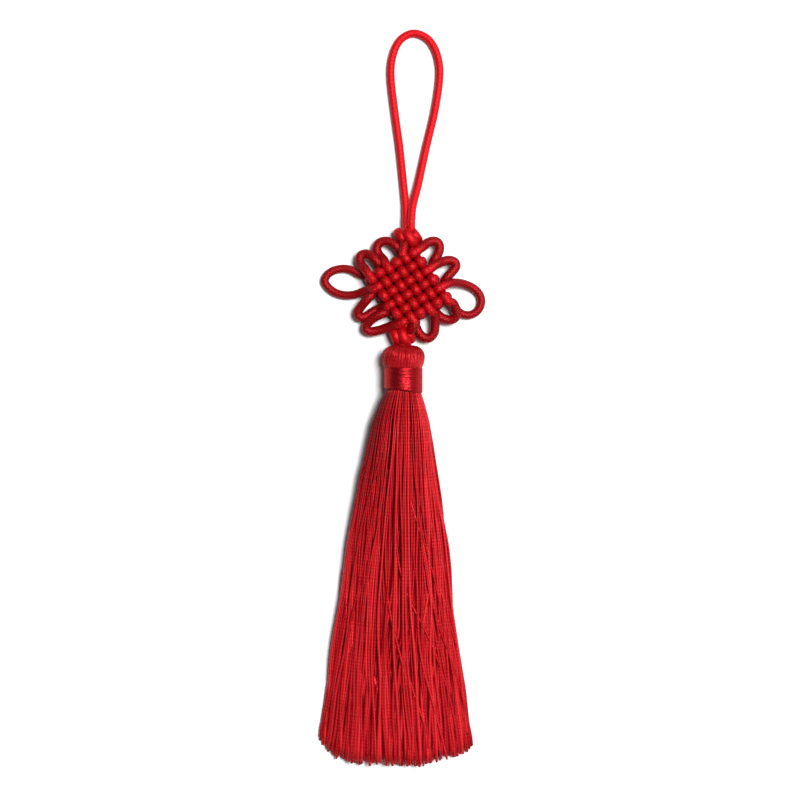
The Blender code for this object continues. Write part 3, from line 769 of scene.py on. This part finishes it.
# Across, a thread goes from its place in the round bundle to its place in the
# fan by the share that the skirt has spread there. The outline of the sections
# gives the fan's middle and half width at each way down.
fall = np.linspace(0.0, 1.0, SKIRT_RINGS)[None, :] ** RING_CROWDING
downs = (ends[:, None] + ROOT_HIDDEN) * fall - ROOT_HIDDEN
left = np.interp(downs, SKIRT_SECTIONS[:, 0], SKIRT_SECTIONS[:, 1])
right = np.interp(downs, SKIRT_SECTIONS[:, 0], SKIRT_SECTIONS[:, 2])
half, middle = (left + right) / 2, HEAD_X + (right - left) / 2
spread = np.clip((half - HALF_AT_ROOT) / (HALF_AT_HEM - HALF_AT_ROOT), 0.0, 1.0)
root_x = np.sin(place * np.pi / 2 * BUNDLE_ARC)
root_z = (2 * level - 1) * np.sqrt(np.maximum(1 - root_x ** 2, 0.0)) * BUNDLE_REACH
gather = GATHER * np.sin(np.pi * fall ** GATHER_EARLY)
gathered = place[:, None] + (lock_middle - place)[:, None] * gather
gathered[stray] = 1.0
across = (root_x[:, None] * (1 - spread) + gathered * FAN_REACH * spread
          + drift[:, None] * spread ** DRIFT_LATE)
crossed = (1 + np.tanh((downs - dice.uniform(*CROSSINGS, (SKIRT_THREADS, 1))) / CROSSING_LENGTH)) / 2
across = np.clip(across + wander[:, None] * crossed, -1.0, 1.0)


def waves(count, wavelengths, least, most):
    """Sideways waves of count threads: a sine of the way down, each with its own length and phase."""
    return dice.uniform(least, most, (count, 1)) * np.sin(2 * np.pi * (
        downs[:count] / dice.uniform(*wavelengths, (count, 1)) + dice.random((count, 1))))


sway = waves(SKIRT_THREADS, *SHORT_WAVES) + waves(SKIRT_THREADS, *LONG_WAVES)
sway += waves(SKIRT_LOCKS, *LOCK_WAVES)[lock]
sway[stray] = (np.array(STRAY_REACH)[:, None]
               * np.exp(-((downs[stray] - STRAY_DOWN) / STRAY_LENGTH) ** 2))
taper = 1 - TIP_TAPER + TIP_TAPER * np.clip((ends[:, None] - downs) / TIP_LENGTH, 0.0, 1.0)
size = (THREAD_AT_ROOT + (THREAD_AT_HEM - THREAD_AT_ROOT) * spread ** THREAD_SWELL) * taper
size *= dice.uniform(*THREAD_VARIES, (SKIRT_THREADS, 1))
# The pile is highest in the middle and lies flat on the table at both edges.
pile = PILE_HEIGHT * (1 - np.abs(across) ** PILE_FULLNESS) * level[:, None]
settled = spread ** PILE_SETTLING
heights = (HEAD_HEIGHT + root_z)[:, None] * (1 - settled) + pile * settled
skirt_paths = np.stack((middle + half * across + sway * spread, HEAD_TOP - ROOT_DOWN - downs,
                        np.maximum(heights, 0.0) + size / 2), axis=-1)
skirt_lengths = lengths_along(skirt_paths)
skirt_rings = rings_round(skirt_paths, size[..., None], size[..., None], SKIRT_SIDES)

# The upper threads are lighter and those lower in the pile darker: painted
# shade. Near the roots all are more alike, and the left flank, turned from the
# lamp, is darker there: painted shade too.
own_shade = (SHADE_LOW + PAINTED_PILE_SHADE * level
             + SHADE_OWN * dice.random(SKIRT_THREADS) ** SHADE_RARITY)[:, None]
contrast = ROOT_CONTRAST + (1 - ROOT_CONTRAST) * spread
# Painted shade on the left flank near the roots.
flank = np.clip((-across - FLANK_START) / FLANK_BLEND, 0.0, 1.0) * np.exp(-(downs / FLANK_LENGTH) ** 2)
skirt_shade = SHADE_AT_ROOT + (own_shade - SHADE_AT_ROOT) * contrast - PAINTED_FLANK_SHADE * flank
for n in range(SKIRT_PIECES):
    part = slice(n * SKIRT_THREADS // SKIRT_PIECES, (n + 1) * SKIRT_THREADS // SKIRT_PIECES)
    add_cords(f"skirt_threads_{n + 1}", skirt_rings[part], skirt_lengths[part], threads,
              ["tassel"], skirt_shade[part])
